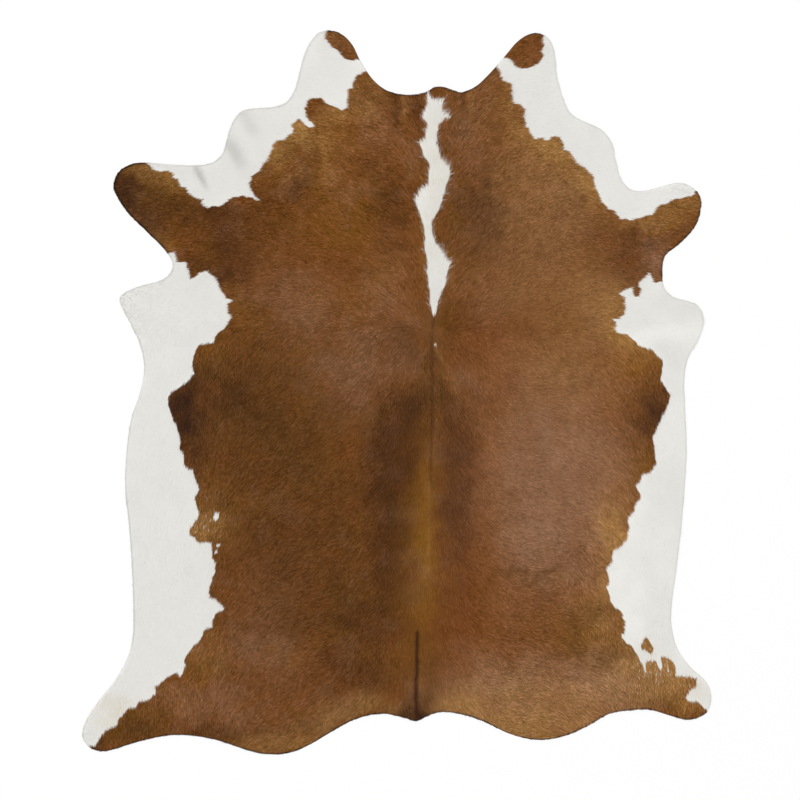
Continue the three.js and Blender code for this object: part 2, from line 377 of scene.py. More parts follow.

# Each row: where, shade, centre, half width, half length, turn in degrees, strength. The rows of the mauve
# shade are painted sheen.
PATCHES = [
    ("left half, darker", "olive", -330, -330, 320, 500, 0, 0.34),
    # the neck and withers, left
    ("edge of the neck", "tan", -105, 890, 50, 60, 0, 0.42),
    ("beside the folds", "mauve_sheen", -50, 810, 70, 100, 0, 0.18),
    # painted shade between the folds of the neck
    ("between the folds", "liver", -30, 900, 60, 60, 0, 0.22),
    ("upper lobe", "olive", -242, 862, 28, 34, 0, 0.25),
    ("its edge", "tan", -190, 845, 45, 26, 0, 0.48),
    ("light rim", "tan", -290, 790, 64, 34, -20, 0.80),
    ("edge below it", "tan", -370, 730, 48, 52, 0, 0.70),
    ("pale patch", "tan", -205, 690, 50, 70, 0, 0.26),
    ("golden middle", "golden", -130, 630, 90, 110, 0, 0.20),
    ("golden middle, darkened", "liver", -120, 640, 90, 100, 0, 0.05),
    ("dark spot", "liver", -75, 705, 34, 28, 0, 0.20),
    ("beside the blaze", "liver", -12, 575, 52, 78, 0, 0.42),
    ("below it", "liver", -4, 450, 42, 70, 0, 0.14),
    ("second dark spot", "liver", -305, 635, 46, 44, 0, 0.42),
    ("spot at the edge", "liver", -441, 640, 16, 24, 0, 0.18),
    ("golden withers", "olive", -140, 510, 100, 80, 0, 0.20),
    ("golden withers, lit", "golden", -190, 470, 110, 120, 0, 0.30),
    # the left foreleg and shoulder
    ("leg, upper edge", "tan", -765, 684, 66, 22, -5, 0.95),
    ("foreleg, olive", "olive", -740, 585, 120, 70, -40, 0.55),
    ("leg, front", "golden", -715, 640, 80, 34, -25, 0.55),
    ("foreleg, golden", "golden", -690, 585, 100, 46, -35, 0.42),
    ("leg, front, lit", "tan", -720, 652, 80, 30, -25, 0.62),
    ("leg, tip", "liver", -840, 628, 46, 48, 0, 0.72),
    ("leg, back edge", "liver", -790, 552, 95, 20, -47, 0.45),
    ("leg, middle", "liver", -765, 590, 80, 46, -40, 0.30),
    ("leg, top", "liver", -655, 552, 70, 48, 0, 0.48),
    ("leg, pale spot", "tan", -718, 478, 30, 18, -45, 0.30),
    ("leg, golden spot", "golden", -688, 446, 22, 14, 0, 0.80),
    ("shoulder, dark", "liver", -505, 460, 84, 96, 0, 0.54),
    ("shoulder, darkest", "liver", -520, 364, 48, 34, 0, 0.58),
    ("shoulder, corner", "liver", -612, 388, 36, 30, 0, 0.45),
    ("armpit", "liver", -570, 552, 60, 26, 0, 0.38),
    ("shoulder, olive", "olive", -375, 485, 70, 75, 0, 0.24),
    ("shoulder, cool", "liver", -385, 560, 60, 44, 0, 0.16),
    ("shoulder, warm", "russet", -180, 350, 58, 44, 0, 0.34),
    ("shoulder, behind", "mauve_sheen", -300, 300, 150, 90, 0, 0.30),
    ("shoulder, low", "mauve_sheen", -290, 195, 70, 50, 0, 0.25),
    ("beside the blaze", "mauve_sheen", 0, 320, 60, 110, 0, 0.22),
    # the left ribs and side
    ("ribs", "mauve_sheen", -130, 85, 150, 82, 0, 0.50),
    ("ribs, near the spine", "mauve_sheen", 30, 120, 60, 60, 0, 0.16),
    ("ribs, lower", "mauve_sheen", -165, -36, 80, 55, 0, 0.34),
    ("ribs, dark above the spine", "liver", 25, 160, 66, 60, 0, 0.24),
    ("side, golden", "golden", -455, 225, 60, 44, 0, 0.45),
    ("side, golden edge", "golden", -575, 118, 55, 40, 20, 0.50),
    ("side, olive", "olive", -470, 50, 140, 120, 0, 0.78),
    ("side, dark", "liver", -480, -40, 70, 60, 0, 0.42),
    ("flank, nearly black", "liver", -645, -60, 66, 105, 0, 0.92),
    ("flank, below it", "liver", -628, -185, 36, 46, 0, 0.45),
    ("side, middle", "olive", -390, -150, 180, 150, 0, 0.75),
    ("side, darker", "liver", -330, -230, 150, 150, 0, 0.12),
    ("side, lower", "liver", -330, -480, 140, 130, 0, 0.24),
    ("flank, golden edge", "golden", -590, -262, 28, 42, 0, 0.45),
    ("flank, lobe", "tan", -590, -410, 62, 54, 0, 0.90),
    ("loin", "olive", -160, -430, 60, 130, 0, 0.45),
    ("croup", "olive", -130, -640, 100, 90, 0, 0.60),
    # the left thigh and hind leg
    ("rump, dark", "liver", -130, -780, 110, 120, 0, 0.44),
    ("thigh, dark", "liver", -370, -650, 100, 100, 0, 0.12),
    ("thigh, cool", "mauve_sheen", -390, -650, 100, 110, 0, 0.16),
    ("thigh, pale", "mauve_sheen", -450, -770, 70, 60, 0, 0.36),
    ("thigh, low", "mauve_sheen", -360, -860, 90, 100, 0, 0.20),
    ("leg, light golden", "tan", -572, -788, 40, 58, -40, 0.38),
    ("leg, golden", "golden", -600, -862, 64, 34, 0, 0.46),
    ("leg, mauve", "mauve_sheen", -655, -940, 90, 46, 0, 0.34),
    ("rump, mauve", "mauve_sheen", -530, -975, 90, 46, 0, 0.26),
    ("rump, dark edge", "liver", -550, -1040, 130, 26, 0, 0.36),
    ("leg, end", "olive", -820, -1022, 100, 46, 15, 0.88),
    ("leg, end, tip", "liver", -910, -1070, 44, 26, 15, 0.30),
    ("leg, end, lit", "golden", -770, -985, 90, 36, 15, 0.46),
    ("rump, light edge", "tan", -380, -1074, 120, 28, 5, 0.40),
    ("rump, inner edge", "tan", -210, -1000, 90, 34, 30, 0.34),
    ("rump, inner edge, rosy", "mauve_sheen", -210, -990, 100, 40, 30, 0.26),
    ("beside the tail", "tan", -75, -955, 70, 26, 0, 0.50),
    # the spine
    ("golden strip, wide", "golden", 66, -510, 44, 230, 0, 0.50),
    ("golden strip, left side", "olive", 24, -500, 36, 200, 0, 0.50),
    ("golden strip", "golden", 86, -490, 32, 215, 0, 0.92),
    ("golden strip, lit", "tan", 90, -470, 22, 200, 0, 0.10),
    ("golden strip, top", "golden", 88, -200, 14, 110, 0, 0.34),
    ("right of the strip", "liver", 195, -430, 46, 170, 0, 0.34),
    ("ribs, darker by the spine", "liver", 225, -150, 36, 150, 0, 0.26),
    ("tail, beside it", "liver", 60, -972, 46, 46, 0, 0.80),
    ("tail, right", "olive", 108, -880, 24, 70, 0, 0.40),
    ("croup, right", "russet", 170, -740, 70, 140, 0, 0.42),
    ("croup, right, olive", "olive", 120, -830, 60, 80, 0, 0.45),
    # the neck and withers, right
    ("cool beside the blaze", "mauve_sheen", 200, 800, 44, 80, 0, 0.28),
    ("dark beside the blaze", "liver", 200, 820, 44, 70, 0, 0.16),
    ("neck", "mauve_sheen", 330, 700, 150, 190, 0, 0.12),
    ("neck, top edge", "tan", 356, 900, 46, 60, 0, 0.62),
    ("neck, upper edge", "tan", 460, 748, 84, 30, -30, 0.85),
    ("neck, upper edge, golden", "golden", 450, 735, 90, 36, -30, 0.35),
    ("neck, lower edge", "tan", 592, 640, 34, 76, 20, 0.78),
    ("neck, tan", "tan", 440, 660, 140, 120, 0, 0.30),
    ("neck, rosy", "mauve_sheen", 500, 600, 100, 110, 0, 0.24),
    ("dark right of the blaze", "liver", 255, 600, 56, 70, 0, 0.38),
    ("withers, dark", "liver", 262, 490, 54, 60, 0, 0.40),
    ("golden beside the blaze", "golden", 168, 540, 30, 58, 0, 0.40),
    ("darker under it", "olive", 165, 520, 44, 90, 0, 0.40),
    ("withers, golden", "olive", 165, 195, 48, 64, 0, 0.75),
    ("withers, golden light", "golden", 150, 200, 30, 50, 0, 0.35),
    ("withers, russet", "russet", 290, 160, 100, 80, 0, 0.62),
    # the right shoulder and foreleg
    ("shoulder", "mauve_sheen", 430, 390, 180, 170, 0, 0.32),
    ("shoulder, rosy", "russet", 420, 380, 150, 150, 0, 0.16),
    ("shoulder, warm", "tan", 425, 310, 160, 230, 0, 0.26),
    ("shoulder, back", "tan", 600, 275, 80, 80, 0, 0.34),
    ("shoulder, edge", "tan", 664, 248, 30, 56, 0, 0.70),
    ("shoulder, edge, rosy", "mauve_sheen", 640, 250, 60, 70, 0, 0.50),
    ("shoulder, above the leg", "liver", 610, 480, 56, 56, 0, 0.08),
    ("leg, dark", "liver", 705, 410, 56, 76, 0, 0.30),
    ("leg, dark spot", "liver", 722, 480, 22, 26, 0, 0.30),
    ("leg, second dark spot", "liver", 770, 446, 26, 14, 0, 0.26),
    ("leg, pale back edge", "mauve_sheen", 790, 400, 30, 50, 0, 0.80),
    ("leg, tip", "tan", 862, 565, 76, 34, 25, 0.60),
    ("leg, upper edge, right", "tan", 740, 520, 60, 20, 0, 0.50),
    ("shoulder, cool", "mauve_sheen", 285, 270, 76, 44, 0, 0.22),
    # the right ribs and side
    ("ribs, beside the spine", "mauve_sheen", 212, 34, 44, 30, -38, 0.45),
    ("ribs, high", "mauve_sheen", 440, 40, 180, 80, 0, 0.30),
    ("ribs, high, warm", "tan", 520, 70, 150, 80, 0, 0.18),
    ("ribs, high, russet", "russet", 290, 50, 110, 100, 0, 0.22),
    ("ribs", "mauve_sheen", 455, -200, 170, 190, 0, 0.76),
    ("ribs, low", "mauve_sheen", 450, -430, 140, 130, 0, 0.78),
    ("side", "mauve_sheen", 600, -260, 70, 140, 0, 0.36),
    ("flank, pale edge", "tan", 668, -430, 46, 80, 0, 0.85),
    ("flank, pale edge, rosy", "mauve_sheen", 660, -430, 60, 90, 0, 0.60),
    ("flank, edge above the thigh", "tan", 632, -590, 24, 60, 0, 0.45),
    ("flank, golden", "golden", 735, 80, 70, 60, 0, 0.62),
    ("flank, upper edge", "tan", 705, 160, 64, 28, -25, 0.75),
    ("flank, dark", "liver", 788, -62, 54, 76, 0, 0.72),
    ("flank, golden below it", "golden", 745, -230, 46, 80, 0, 0.80),
    ("flank, darker below it", "liver", 745, -170, 40, 90, 0, 0.26),
    ("loin, russet", "russet", 225, -400, 56, 230, 0, 0.50),
    # the right thigh and hind leg
    ("thigh, cool", "mauve_sheen", 560, -570, 80, 60, 0, 0.36),
    ("thigh, golden", "golden", 595, -735, 88, 84, 0, 0.70),
    ("thigh, golden, lit", "tan", 615, -725, 70, 80, 0, 0.30),
    ("thigh, golden, rosy", "mauve_sheen", 620, -690, 60, 60, 0, 0.26),
    ("thigh, first spot", "olive", 545, -742, 30, 54, 10, 0.70),
    ("thigh, second spot", "olive", 655, -815, 46, 30, 20, 0.60),
    ("thigh, third spot", "olive", 625, -668, 44, 20, 0, 0.50),
    ("thigh, fourth spot", "olive", 500, -802, 44, 14, 20, 0.28),
    ("thigh, inner", "mauve_sheen", 385, -700, 100, 120, 0, 0.08),
    ("rump, pale", "mauve_sheen", 300, -885, 130, 60, 0, 0.95),
    ("rump, pale, warm", "tan", 300, -900, 130, 60, 0, 0.26),
    ("rump, lit", "tan", 520, -930, 190, 50, 0, 0.40),
    ("rump, pale below the thigh", "mauve_sheen", 630, -890, 140, 64, 0, 1.00),
    ("rump, light edge", "tan", 390, -1015, 190, 50, 0, 0.64),
    ("rump, light edge, rosy", "mauve_sheen", 400, -990, 200, 60, 0, 0.60),
    ("beside the tail, light edge", "tan", 190, -950, 56, 38, 0, 0.72),
    ("beside the tail, rosy", "mauve_sheen", 190, -930, 66, 50, 0, 0.60),
    ("thigh, pale corner", "mauve_sheen", 710, -865, 100, 54, 0, 1.00),
    ("thigh, pale corner, lit", "tan", 735, -855, 90, 50, 0, 0.45),
    ("thigh, pale lobes", "tan", 780, -830, 74, 60, 0, 0.95),
    ("leg", "golden", 795, -925, 90, 38, 0, 0.45),
    ("leg, lit", "tan", 790, -920, 90, 40, 0, 0.22),
    ("leg, light", "tan", 845, -900, 60, 26, 10, 0.55),
    ("leg, dark patch", "liver", 815, -950, 34, 22, 0, 0.20),
    ("leg, golden top", "golden", 858, -944, 44, 16, -15, 0.70),
    ("leg, end", "tan", 900, -960, 40, 26, 0, 0.28),
]

# ------------------------------
# Helpers: colour, noise, fields over the rug
# ------------------------------


def linear(colour):
    """An sRGB hex colour as linear red, green, blue and a full alpha."""
    parts = [int(colour[i : i + 2], 16) / 255 for i in (1, 3, 5)]
    return (*(c / 12.92 if c <= 0.04045 else ((c + 0.055) / 1.055) ** 2.4 for c in parts), 1.0)


def smoothstep(low, high, value):
    t = np.clip((value - low) / (high - low), 0.0, 1.0)
    return t * t * (3.0 - 2.0 * t)


def noise(x, y, size, seed):
    """Smooth random values from -1 to 1 that change over about size millimetres."""
    lattice = np.random.default_rng(seed).uniform(-1.0, 1.0, (LATTICE, LATTICE))
    u = x / size + LATTICE_START[0]
    v = y / size + LATTICE_START[1]
    i = np.floor(u).astype(int)
    j = np.floor(v).astype(int)
    fu = smoothstep(0.0, 1.0, u - i)
    fv = smoothstep(0.0, 1.0, v - j)
    left, right = i % LATTICE, (i + 1) % LATTICE
    below, above = j % LATTICE, (j + 1) % LATTICE
    low = lattice[below, left] * (1 - fu) + lattice[below, right] * fu
    high = lattice[above, left] * (1 - fu) + lattice[above, right] * fu
    return low * (1 - fv) + high * fv


def rough_noise(x, y, size, seed, octaves=3):
    """Noise with finer noise on it, each layer half the size and half the strength."""
    total = 0.0
    for octave in range(octaves):
        total = total + noise(x, y, size / 2**octave, seed + octave) / 2**octave
    return total


def soft_oval(x, y, cx, cy, half_width, half_length, ends=2):
    """1 in the middle of an oval, fading to 0 outside it. A higher value of ends keeps it full for
    longer towards its head and tail."""
    return np.exp(-(((x - cx) / half_width) ** 2 + ((y - cy) / half_length) ** ends))


class Field:
    """A value kept on a square grid over the rug and read between its points, in millimetres."""

    def __init__(self, values, corner):
        self.values = values
        self.corner = corner

    def __call__(self, x, y):
        rows, columns = self.values.shape
        u = np.clip((x - self.corner[0]) / FIELD_STEP, 0, columns - 1.001)
        v = np.clip((y - self.corner[1]) / FIELD_STEP, 0, rows - 1.001)
        i = u.astype(int)
        j = v.astype(int)
        fu = u - i
        fv = v - j
        low = self.values[j, i] * (1 - fu) + self.values[j, i + 1] * fu
        high = self.values[j + 1, i] * (1 - fu) + self.values[j + 1, i + 1] * fu
        return low * (1 - fv) + high * fv


low_corner, high_corner = (np.array(corner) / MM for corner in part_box("hide"))
field_corner = low_corner[:2] - FIELD_MARGIN
field_x = np.arange(field_corner[0], high_corner[0] + FIELD_MARGIN, FIELD_STEP)
field_y = np.arange(field_corner[1], high_corner[1] + FIELD_MARGIN, FIELD_STEP)


def nearest_on_segment(x, y, start, end):
    """How far along a segment the nearest point lies, from 0 to 1, and how far away it is."""
    along = np.array(end, float) - start
    t = ((x - start[0]) * along[0] + (y - start[1]) * along[1]) / (along @ along)
    t_held = np.clip(t, 0.0, 1.0)
    gap = np.hypot(x - start[0] - t_held * along[0], y - start[1] - t_held * along[1])
    return t, gap


def depth_inside(ring, far=NEAR):
    """The field of the distance to a closed outline, positive inside it and negative outside.
    It is only worked out up to the distance far."""
    ring = np.array(ring, float)
    gap = np.full((len(field_y), len(field_x)), far)
    inside = np.zeros(gap.shape, bool)
    for start, end in zip(ring, np.roll(ring, -1, axis=0)):
        left, low = np.minimum(start, end) - far
        right, high = np.maximum(start, end) + far
        columns = slice(*np.searchsorted(field_x, (left, right)))
        rows = slice(*np.searchsorted(field_y, (low, high)))
        if np.any(start != end):
            near = nearest_on_segment(field_x[None, columns], field_y[rows, None], start, end)[1]
            gap[rows, columns] = np.minimum(gap[rows, columns], near)
        if start[1] != end[1]:
            crossed = slice(*np.searchsorted(field_y, sorted((start[1], end[1]))))
            share = (field_y[crossed] - start[1]) / (end[1] - start[1])
            crossing = start[0] + share * (end[0] - start[0])
            inside[crossed] ^= field_x[None, :] < crossing[:, None]
    return Field(np.where(inside, gap, -gap), field_corner)


# ------------------------------
# The hide's edge, its markings, its relief and the way its hair grows
# ------------------------------


def hide_edge():
    """The ring of points round the hide, cut from the CAD solid at mid height, in millimetres."""
    bm = bmesh.new()
    bm.from_mesh(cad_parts["hide"].data)
    bmesh.ops.remove_doubles(bm, verts=bm.verts, dist=SAME_PLACE)
    middle = (low_corner + high_corner) / 2 * MM
    cut = bmesh.ops.bisect_plane(
        bm,
        geom=bm.verts[:] + bm.edges[:] + bm.faces[:],
        plane_co=Vector(middle),
        plane_no=(0, 0, 1),
        clear_outer=True,
    )["geom_cut"]
    edges = {piece for piece in cut if isinstance(piece, bmesh.types.BMEdge)}
    first = next(iter(edges)).verts[0]
    ring = [first]
    walked = set()
    while True:
        step = next((e for e in ring[-1].link_edges if e in edges and e not in walked), None)
        if step is None:
            break
        walked.add(step)
        ring.append(step.other_vert(ring[-1]))
    points = [(v.co.x / MM, v.co.y / MM) for v in ring[:-1]]
    bm.free()
    return points


edge = hide_edge()
depth_in_hide = depth_inside(edge)


def fleck_ring(x, y, half_width, half_length, points=14):
    """A small oval outline."""
    turns = [2 * math.pi * k / points for k in range(points)]
    return [(x + half_width * math.cos(t), y + half_length * math.sin(t)) for t in turns]


def markings():
    """The field of the distance into the white hair: positive where it is white."""
    white = np.full((len(field_y), len(field_x)), -NEAR)
    for outline in WHITE_AREAS.values():
        white = np.maximum(white, depth_inside(outline).values)
    for outline in BROWN_AREAS.values():
        white = np.minimum(white, -depth_inside(outline).values)
    for _, x, y, half_width, half_length in WHITE_FLECKS:
        white = np.maximum(white, depth_inside(fleck_ring(x, y, half_width, half_length)).values)
    return Field(white, field_corner)


depth_in_white = markings()


def fold_height(x, y, folds):
    """The height of a set of soft ridges at given places, each fading out at its inner end."""
    height = 0.0
    for _, start, end, half_width, top in folds:
        t, gap = nearest_on_segment(x, y, start, end)
        fade = 1 - smoothstep(FOLD_FADES, 1.0, t)
        height = height + top * np.exp(-((gap / half_width) ** 2)) * fade
    return height


def lift(x, y):
    """How far the leather stands off the floor."""
    full = smoothstep(0, LEATHER_SWAY_EDGE, depth_in_hide(x, y))
    sway = LEATHER_SWAY * (1 + noise(x, y, LEATHER_SWAY_SIZE, 11)) * full
    return sway + fold_height(x, y, WAVES)


def spine_x(y):
    """Where the line of the back runs."""
    return NECK_SPINE_X + (TAIL_SPINE_X - NECK_SPINE_X) * np.clip(-y / SPINE_LENGTH, 0.0, 1.0)


def hair_direction(x, y):
    """The unit vector along which the hair lies."""
    beside = x - spine_x(y)
    side = np.where(beside < 0, -1.0, 1.0)
    distances = [row[1] for row in COMBING]
    ahead, left, right = (
        np.radians(np.interp(np.abs(beside), distances, [row[column] for row in COMBING]))
        for column in (2, 3, 4)
    )
    behind = np.where(side < 0, left, right)
    share = smoothstep(WHORL_Y - WHORL_REACH, WHORL_Y + WHORL_REACH, y)
    dx = side * (share * np.sin(ahead) + (1 - share) * np.sin(behind))
    dy = -(share * np.cos(ahead) + (1 - share) * np.cos(behind))
    sway = 0.0
    for degrees, size, seed in SWAYS:
        sway = sway + degrees * noise(x, y, size, seed)
    for _, cx, cy, half_width, half_length, degrees in CURLS:
        reach = soft_oval(x, y, cx, cy, half_width, half_length)
        sway = sway + degrees * reach * CURL_GAIN * noise(x, y, CURL_SIZE, 23)
    turn = np.arctan2(dy, dx) + np.radians(sway)
    return np.cos(turn), np.sin(turn)


tinted_depths = [depth_inside(row[-1], TINT_NEAR) for row in TINTED_AREAS]


def gap_to_line(x, y, points):
    """How far places are from a line of several stretches, and how far along it, from 0 to 1."""
    points = np.array(points, float)
    stretches = np.hypot(*np.diff(points, axis=0).T)
    passed = np.concatenate([[0.0], np.cumsum(stretches)])
    nearest = np.full(np.shape(x), np.inf)
    along = np.zeros(np.shape(x))
    for k, stretch in enumerate(stretches):
        t, gap = nearest_on_segment(x, y, points[k], points[k + 1])
        closer = gap < nearest
        nearest = np.where(closer, gap, nearest)
        along = np.where(closer, (passed[k] + np.clip(t, 0.0, 1.0) * stretch) / passed[-1], along)
    return nearest, along


def lay_over(weights, shade, reach):
    """Lays more of a shade on what is there, which it can fill up and no more."""
    weights[shade] = weights[shade] + (1 - weights[shade]) * reach


def patch_weights(x, y):
    """How much of each shade the hair takes at given places, from 0 to 1."""
    weights = {shade: np.zeros(np.shape(x)) for shade in SHADES}
    wide_x, wide_y = rough_noise(x, y, WARP_SIZE, 31), rough_noise(x, y, WARP_SIZE, 41)
    fine_x, fine_y = rough_noise(x, y, SMALL_WARP_SIZE, 36), rough_noise(x, y, SMALL_WARP_SIZE, 46)
    cloudy = 1 - CALM_RIGHT * smoothstep(CALM_FROM, CALM_TO, x)
    mottle = 1 + MOTTLE * cloudy * rough_noise(x, y, MOTTLE_SIZE, 56, FINE_OCTAVES)
    for shade, size, seed, strength in CLOUDS:
        cloud = smoothstep(0.0, CLOUD_FULL, rough_noise(x, y, size, seed, FINE_OCTAVES))
        weights[shade] = strength * cloudy * cloud
    for _, shade, cx, cy, half_width, half_length, turn, strength in PATCHES:
        sway = min(WARP, SMALL_WARP * min(half_width, half_length))
        from_x = x - cx + sway * (wide_x if sway == WARP else fine_x)
        from_y = y - cy + sway * (wide_y if sway == WARP else fine_y)
        c, s = math.cos(math.radians(turn)), math.sin(math.radians(turn))
        u = (c * from_x + s * from_y) / half_width
        v = (c * from_y - s * from_x) / half_length
        lay_over(weights, shade, strength * mottle * np.exp(-SOFTNESS * (u * u + v * v)))
    for (_, shade, strength, borders, outline), depth in zip(TINTED_AREAS, tinted_depths):
        head, tail = max(p[1] for p in outline), min(p[1] for p in outline)
        border = np.interp(y, (tail, head), borders[::-1])
        sway = np.minimum(TINT_WARP * border, TINT_WARP_LIMIT)
        far_in = depth(x + sway * fine_x, y + sway * fine_y)
        reach = strength * mottle**TINT_MOTTLE * smoothstep(-0.5, 0.5, far_in / border)
        lay_over(weights, shade, reach)
    for _, shade, strength, half_width, points in LINES:
        gap, along = gap_to_line(x + LINE_WARP * half_width * fine_x, y, points)
        fade = 1 - smoothstep(LINE_FADES, 1.0, along)
        lay_over(weights, shade, strength * np.exp(-((gap / half_width) ** 2)) * fade)
    return {shade: np.clip(weight, 0.0, 1.0) for shade, weight in weights.items()}


def crease_shade_weights(x, y):
    """How much painted shade the creases in the white hair get, from 0 to 1."""
    weight = 0.0
    for _, strength, half_width, points in WHITE_CREASE_SHADES:
        gap, along = gap_to_line(x, y, points)
        fade = 1 - smoothstep(CREASE_SHADE_FADES, 1.0, along)
        weight = np.maximum(weight, strength * np.exp(-((gap / half_width) ** 2)) * fade)
    return weight


def stain_weights(x, y):
    """How much cream the white hair has, from 0 to 1."""
    weight = 0.0
    for _, cx, cy, half_width, half_length, strength in STAINS:
        reach = soft_oval(x, y, cx, cy, half_width, half_length, ends=4)
        weight = np.maximum(weight, strength * reach)
    cloudy = STAIN_EVEN + STAIN_CLOUDY * rough_noise(x, y, STAIN_SIZE, 141)
    return np.clip(weight * cloudy, 0.0, 1.0)


# ------------------------------
# Materials
# ------------------------------

SHARE, FIRST, SECOND = 0, 6, 7  # the inputs of a Mix node that mixes colours
MIXED = 2  # and its output

KERATIN_IOR = 1.55
LEATHER_IOR = 1.50

HAIR_BUNDLE = 0.4  # a hair is 0.06 mm thick, too fine to show, so a few are drawn together
HAIR_RUN = 11.0  # how far a bundle keeps its tone along the lock
TIP_GAIN = 0.22  # how much brighter a lock is at its tip
BUNDLE_TONE = 0.20  # and its brightest bundle of hairs
# paler locks lose some of their colour as a painted sheen
SHEEN_DESATURATION = (-0.12, 1.135)  # how the brown's saturation falls with the tone, and from what
WHITE_TONE = (0.06, 0.94)  # how little the white's brightness follows the tone
HAIR_ROUGHNESS = (0.2, 0.45)  # what the bundles add to the roughness, and its lowest value
ROOT_WHITES = ("#D2CFC8", "#E2E0DB")
ROOT_PILE = 1.6  # the tufts between the roots
# how far the pile darkens towards the dark brown, a painted shade among the roots
ROOT_PAINTED_SHADE = 0.24
# the cut edge's colours under the brown and the white hair, partly painted shadow along the edge
EDGE_AND_SHADE_BROWNS = ("#2C1B10", "#46301F")
EDGE_AND_SHADE_GREYS = ("#B4B0A9", "#D0CDC6")
CUT_FIBRE = 1.1  # the felted fibres that show where a knife has cut the skin
SUEDE = ("#B8A283", "#D6C6AB")
SUEDE_BRUSHED = "#BCA789"
SUEDE_NAP = 0.9  # the nap that buffing raises
SUEDE_CLOUD = 110.0  # the cloudy marks of the shaving machine
PAPER = ("#F7F7F6", "#FAFAF9")
PAPER_GRAIN = 2.0


def add_node(tree, kind, inputs=None, **settings):
    """Adds a node, sets its properties and fills its inputs, each from a value or from the output
    of another node."""
    node = tree.nodes.new(kind)
    for name, value in settings.items():
        setattr(node, name, value)
    for name, value in (inputs or {}).items():
        if isinstance(value, bpy.types.NodeSocket):
            tree.links.new(value, node.inputs[name])
        else:
            node.inputs[name].default_value = value
    return node


def new_material(name):
    material = bpy.data.materials.new(name)
    material.use_nodes = True
    tree = material.node_tree
    tree.nodes.clear()
    return material, tree


def repeats(size):
    """The texture scale that gives marks of a size in millimetres on coordinates in metres."""
    return 1 / (size * MM)


def brown_of_place(tree):
    """The brown of one place on the hide: chestnut with the shades that gather there."""
    colour = linear(CHESTNUT)
    for name, shades in SHADE_SETS.items():
        source = add_node(tree, "ShaderNodeAttribute", attribute_name=name).outputs["Color"]
        shares = add_node(tree, "ShaderNodeSeparateColor", {"Color": source}).outputs
        for share, shade in zip(shares, shades):
            sockets = {SHARE: share, FIRST: colour, SECOND: linear(SHADES[shade])}
            colour = add_node(tree, "ShaderNodeMix", sockets, data_type="RGBA").outputs[MIXED]
    return colour


def hair_material():
    """Cattle hair, washed and combed: fine, smooth and a little waxy, so it has a soft sheen but no
    hard highlight. Each lock has its own tone and is darker at the root and lighter at the tip,
    and the paler a lock is, the less colour it has, as a painted sheen."""
    material, tree = new_material("combed_cattle_hair")
    tone, along, rim_dark_and_shade, stain, whiteness = (
        add_node(tree, "ShaderNodeAttribute", attribute_name=name).outputs["Fac"]
        for name in ("tone", "along", "rim_dark_and_shade", "stain", "whiteness")
    )
    strand = add_node(tree, "ShaderNodeUVMap", uv_map="strand").outputs["UV"]
    drawn_out = {"Vector": strand, "Scale": (1 / HAIR_BUNDLE, 1 / HAIR_RUN, 1.0)}
    bundles = add_node(tree, "ShaderNodeMapping", drawn_out).outputs["Vector"]
    fibres = add_node(tree, "ShaderNodeTexNoise", {"Vector": bundles, "Scale": 1.0}).outputs["Fac"]

    value = tone
    for source, gain in ((along, TIP_GAIN), (fibres, BUNDLE_TONE)):
        steps = {0: source, 1: gain, 2: value}
        value = add_node(tree, "ShaderNodeMath", steps, operation="MULTIPLY_ADD").outputs[0]
    strength, faint, roughness = (
        add_node(tree, "ShaderNodeMath", {0: source, 1: gain, 2: base}, operation="MULTIPLY_ADD").outputs[0]
        for source, (gain, base) in (
            (value, SHEEN_DESATURATION),
            (value, WHITE_TONE),
            (fibres, HAIR_ROUGHNESS),
        )
    )

    toned = {"Color": brown_of_place(tree), "Value": value, "Saturation": strength}
    brown = add_node(tree, "ShaderNodeHueSaturation", toned).outputs["Color"]
    brown_rim_shade = {SHARE: rim_dark_and_shade, FIRST: brown, SECOND: linear(RIM_AND_SHADE_BROWN)}
    brown = add_node(tree, "ShaderNodeMix", brown_rim_shade, data_type="RGBA").outputs[MIXED]

    stained = {SHARE: stain, FIRST: linear(WHITE_HAIR), SECOND: linear(CREAM)}
    white = add_node(tree, "ShaderNodeMix", stained, data_type="RGBA").outputs[MIXED]
    white = add_node(tree, "ShaderNodeHueSaturation", {"Color": white, "Value": faint}).outputs["Color"]
    white_rim_shade = {SHARE: rim_dark_and_shade, FIRST: white, SECOND: linear(RIM_SHADE_GREY)}
    white = add_node(tree, "ShaderNodeMix", white_rim_shade, data_type="RGBA").outputs[MIXED]

    sides = {SHARE: whiteness, FIRST: brown, SECOND: white}
    colour = add_node(tree, "ShaderNodeMix", sides, data_type="RGBA").outputs[MIXED]
    finish = {
        "Base Color": colour,
        "Roughness": roughness,
        "IOR": KERATIN_IOR,
        "Specular IOR Level": 0.08,
    }
    shader = add_node(tree, "ShaderNodeBsdfPrincipled", finish)
    add_node(tree, "ShaderNodeOutputMaterial", {"Surface": shader.outputs[0]})
    return material


